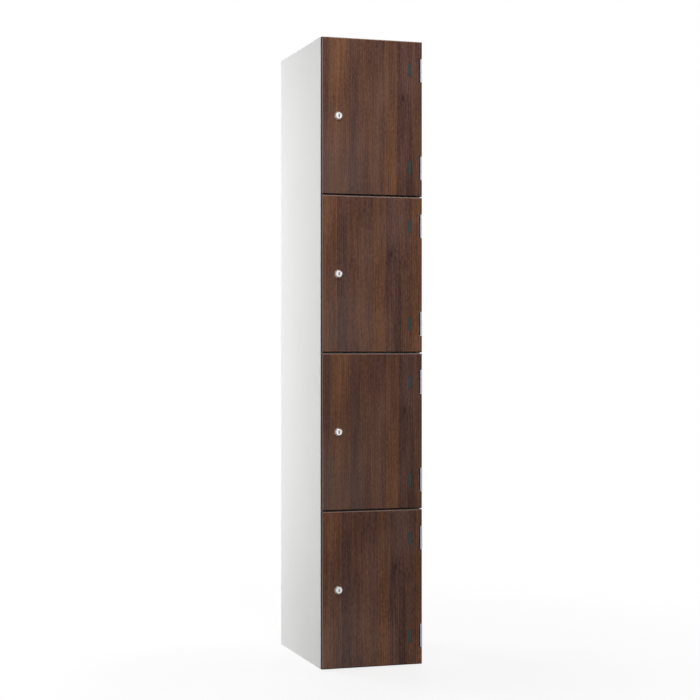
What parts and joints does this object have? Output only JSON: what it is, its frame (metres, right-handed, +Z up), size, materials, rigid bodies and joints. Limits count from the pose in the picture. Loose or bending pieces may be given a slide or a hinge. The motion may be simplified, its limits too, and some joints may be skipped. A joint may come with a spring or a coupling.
{
  "type": "coin operated locker",
  "caption": "Tall narrow sheet-steel locker with stacked compartments; overlay walnut laminate doors on barrel hinges, each with a coin-return key lock.",
  "frame": {"origin": "centre of the carcass footprint, on the floor", "axes": "+Z up, -Y to the front where the doors are, +X to the hinge side"},
  "size_m": [0.3015, 0.473, 1.8],
  "materials": {
    "painted_steel": "light grey fine-textured powder coat",
    "walnut_laminate": "dark walnut decor compact laminate with a black core, satin",
    "nickel_steel": "satin nickel-plated steel",
    "pin_steel": "drawn bright steel pin",
    "rivet_steel": "zinc-plated steel",
    "dark_steel": "dark blue-grey coated steel, satin",
    "black_screws": "black oxide screws",
    "buffer_rubber": "black rubber",
    "lock_case_plastic": "black moulded nylon, fine spark texture",
    "lock_cover_plastic": "dark grey moulded plastic, fine spark texture",
    "escutcheon_zinc": "bright satin-chromed zinc",
    "plug_brass": "nickel-plated brass",
    "cam_steel": "zinc-plated steel",
    "bolt_zinc": "bright die-cast zinc",
    "lever_plastic": "orange acetal",
    "spring_steel": "bare spring steel"
  },
  "bodies": {
    "carcass": {"left_side_panel": "painted_steel", "right_side_panel": "painted_steel", "back_panel": "painted_steel", "top_panel": "painted_steel", "base_panel": "painted_steel", "shelf_upper": "painted_steel", "shelf_middle": "painted_steel", "shelf_lower": "painted_steel", "hinge_frame_leaves": "nickel_steel", "hinge_pins": "pin_steel", "hinge_rivets": "rivet_steel", "door_buffers": "buffer_rubber"},
    "door_1": {"door_1_panel": "walnut_laminate", "door_1_hinge_leaves": "nickel_steel", "door_1_clamp_bars": "dark_steel", "door_1_screws": "black_screws", "door_1_lock_case": "lock_case_plastic", "door_1_lock_cover": "lock_cover_plastic", "door_1_lock_barrel": "escutcheon_zinc", "door_1_lever_spring": "spring_steel"},
    "door_1_plug": {"door_1_lock_plug": "plug_brass", "door_1_lock_cam": "cam_steel"},
    "door_1_bolt": {"door_1_lock_bolt": "bolt_zinc"},
    "door_1_lever": {"door_1_coin_lever": "lever_plastic"},
    "door_2": {"door_2_panel": "walnut_laminate", "door_2_hinge_leaves": "nickel_steel", "door_2_clamp_bars": "dark_steel", "door_2_screws": "black_screws", "door_2_lock_case": "lock_case_plastic", "door_2_lock_cover": "lock_cover_plastic", "door_2_lock_barrel": "escutcheon_zinc", "door_2_lever_spring": "spring_steel"},
    "door_2_plug": {"door_2_lock_plug": "plug_brass", "door_2_lock_cam": "cam_steel"},
    "door_2_bolt": {"door_2_lock_bolt": "bolt_zinc"},
    "door_2_lever": {"door_2_coin_lever": "lever_plastic"},
    "door_3": {"door_3_panel": "walnut_laminate", "door_3_hinge_leaves": "nickel_steel", "door_3_clamp_bars": "dark_steel", "door_3_screws": "black_screws", "door_3_lock_case": "lock_case_plastic", "door_3_lock_cover": "lock_cover_plastic", "door_3_lock_barrel": "escutcheon_zinc", "door_3_lever_spring": "spring_steel"},
    "door_3_plug": {"door_3_lock_plug": "plug_brass", "door_3_lock_cam": "cam_steel"},
    "door_3_bolt": {"door_3_lock_bolt": "bolt_zinc"},
    "door_3_lever": {"door_3_coin_lever": "lever_plastic"},
    "door_4": {"door_4_panel": "walnut_laminate", "door_4_hinge_leaves": "nickel_steel", "door_4_clamp_bars": "dark_steel", "door_4_screws": "black_screws", "door_4_lock_case": "lock_case_plastic", "door_4_lock_cover": "lock_cover_plastic", "door_4_lock_barrel": "escutcheon_zinc", "door_4_lever_spring": "spring_steel"},
    "door_4_plug": {"door_4_lock_plug": "plug_brass", "door_4_lock_cam": "cam_steel"},
    "door_4_bolt": {"door_4_lock_bolt": "bolt_zinc"},
    "door_4_lever": {"door_4_coin_lever": "lever_plastic"}
  },
  "joints": [
    {"name": "door_1_hinge", "type": "hinge", "parent": "carcass", "child": "door_1", "pos_m": [0.14775, -0.237, 1.575], "axis": [0, 0, 1], "range_deg": [0, 170]},
    {"name": "door_1_key_turn", "type": "hinge", "parent": "door_1", "child": "door_1_plug", "pos_m": [-0.1018, -0.23, 1.575], "axis": [0, -1, 0], "range_deg": [0, 180]},
    {"name": "door_1_bolt_throw", "type": "slide", "parent": "door_1", "child": "door_1_bolt", "axis": [-1, 0, 0], "range_m": [0, 0.0132]},
    {"name": "door_1_coin_lever_swing", "type": "hinge", "parent": "door_1", "child": "door_1_lever", "pos_m": [-0.076, -0.205, 1.561], "axis": [0, -1, 0], "range_deg": [0, 50.8]},
    {"name": "door_2_hinge", "type": "hinge", "parent": "carcass", "child": "door_2", "pos_m": [0.14775, -0.237, 1.125], "axis": [0, 0, 1], "range_deg": [0, 170]},
    {"name": "door_2_key_turn", "type": "hinge", "parent": "door_2", "child": "door_2_plug", "pos_m": [-0.1018, -0.23, 1.125], "axis": [0, -1, 0], "range_deg": [0, 180]},
    {"name": "door_2_bolt_throw", "type": "slide", "parent": "door_2", "child": "door_2_bolt", "axis": [-1, 0, 0], "range_m": [0, 0.0132]},
    {"name": "door_2_coin_lever_swing", "type": "hinge", "parent": "door_2", "child": "door_2_lever", "pos_m": [-0.076, -0.205, 1.111], "axis": [0, -1, 0], "range_deg": [0, 50.8]},
    {"name": "door_3_hinge", "type": "hinge", "parent": "carcass", "child": "door_3", "pos_m": [0.14775, -0.237, 0.675], "axis": [0, 0, 1], "range_deg": [0, 170]},
    {"name": "door_3_key_turn", "type": "hinge", "parent": "door_3", "child": "door_3_plug", "pos_m": [-0.1018, -0.23, 0.675], "axis": [0, -1, 0], "range_deg": [0, 180]},
    {"name": "door_3_bolt_throw", "type": "slide", "parent": "door_3", "child": "door_3_bolt", "axis": [-1, 0, 0], "range_m": [0, 0.0132]},
    {"name": "door_3_coin_lever_swing", "type": "hinge", "parent": "door_3", "child": "door_3_lever", "pos_m": [-0.076, -0.205, 0.661], "axis": [0, -1, 0], "range_deg": [0, 50.8]},
    {"name": "door_4_hinge", "type": "hinge", "parent": "carcass", "child": "door_4", "pos_m": [0.14775, -0.237, 0.225], "axis": [0, 0, 1], "range_deg": [0, 170]},
    {"name": "door_4_key_turn", "type": "hinge", "parent": "door_4", "child": "door_4_plug", "pos_m": [-0.1018, -0.23, 0.225], "axis": [0, -1, 0], "range_deg": [0, 180]},
    {"name": "door_4_bolt_throw", "type": "slide", "parent": "door_4", "child": "door_4_bolt", "axis": [-1, 0, 0], "range_m": [0, 0.0132]},
    {"name": "door_4_coin_lever_swing", "type": "hinge", "parent": "door_4", "child": "door_4_lever", "pos_m": [-0.076, -0.205, 0.211], "axis": [0, -1, 0], "range_deg": [0, 50.8]}
  ],
  "couplings": [
    {"joint": "door_1_bolt_throw", "follows": "door_1_key_turn", "m_per_rad": 0.0038197},
    {"joint": "door_1_coin_lever_swing", "follows": "door_1_key_turn", "ratio": 0.25778},
    {"joint": "door_2_bolt_throw", "follows": "door_2_key_turn", "m_per_rad": 0.0038197},
    {"joint": "door_2_coin_lever_swing", "follows": "door_2_key_turn", "ratio": 0.25778},
    {"joint": "door_3_bolt_throw", "follows": "door_3_key_turn", "m_per_rad": 0.0038197},
    {"joint": "door_3_coin_lever_swing", "follows": "door_3_key_turn", "ratio": 0.25778},
    {"joint": "door_4_bolt_throw", "follows": "door_4_key_turn", "m_per_rad": 0.0038197},
    {"joint": "door_4_coin_lever_swing", "follows": "door_4_key_turn", "ratio": 0.25778}
  ]
}
